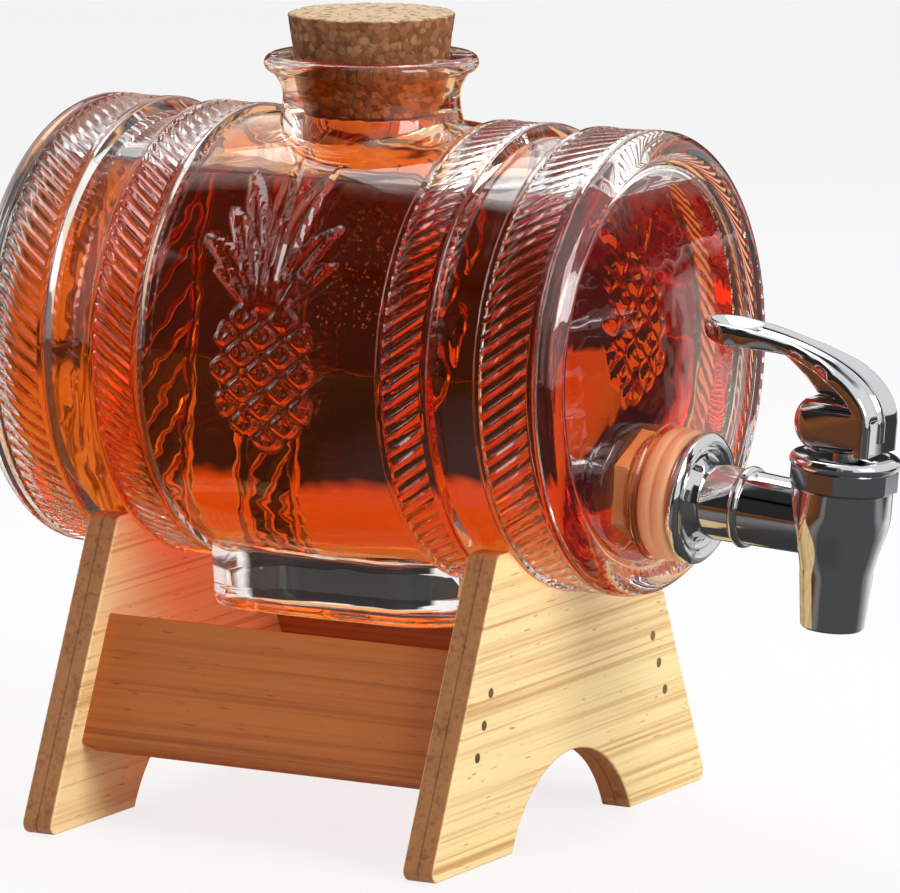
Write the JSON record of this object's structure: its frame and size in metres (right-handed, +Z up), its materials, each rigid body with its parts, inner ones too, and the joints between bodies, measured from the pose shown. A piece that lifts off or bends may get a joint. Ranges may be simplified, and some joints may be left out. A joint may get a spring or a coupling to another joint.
{
  "type": "barrel drink dispenser",
  "caption": "Clear glass barrel with a cork and a chrome lever tap, lying in a bamboo cradle, for serving drinks at a table.",
  "frame": {"origin": "middle of the whole part's footprint, on the surface that the cradle stands on", "axes": "+X along the barrel towards the tap, +Z up, so -Y is the near side in the picture"},
  "size_m": [0.2252, 0.1372, 0.1971],
  "materials": {
    "bamboo": "satin, sanded bamboo board",
    "steel": "plain",
    "glass": "clear, moulded",
    "cork": "agglomerated cork",
    "silicone": "translucent silicone",
    "nylon": "moulded",
    "chrome": "polished chrome plate"
  },
  "bodies": {
    "stand": {"front_panel": "bamboo", "rear_panel": "bamboo", "near_rail": "bamboo", "far_rail": "bamboo", "rail_brads": "steel"},
    "barrel": {"glass_barrel": "glass", "tap_gasket": "silicone", "inner_gasket": "silicone", "shank_washer": "steel", "lock_nut": "nylon", "tap_body": "chrome", "bonnet": "chrome", "bonnet_seal": "silicone", "stem_seal": "silicone", "return_spring": "steel"},
    "cork": {"cork_stopper": "cork"},
    "stem": {"valve_stem": "steel", "valve_plug": "silicone"},
    "lever": {"tap_lever": "chrome", "lever_pin": "steel"}
  },
  "joints": [
    {"name": "barrel_lift", "type": "slide", "parent": "stand", "child": "barrel", "axis": [0, 0, 1], "range_m": [0, 0.1]},
    {"name": "cork_pull", "type": "slide", "parent": "barrel", "child": "cork", "axis": [0, 0, 1], "range_m": [0, 0.04]},
    {"name": "stem_lift", "type": "slide", "parent": "barrel", "child": "stem", "axis": [0.0785, 0, 0.9969], "range_m": [0, 0.0016], "stiffness_N_per_m": 1500, "springref_m": -0.003, "deforming": ["return_spring"]},
    {"name": "lever_press", "type": "hinge", "parent": "stem", "child": "lever", "pos_m": [0.10002, 0, 0.10684], "axis": [0, -1, 0], "range_deg": [0, 24]}
  ],
  "couplings": [
    {"joint": "lever_press", "follows": "stem_lift", "rad_per_m": 257.2}
  ]
}
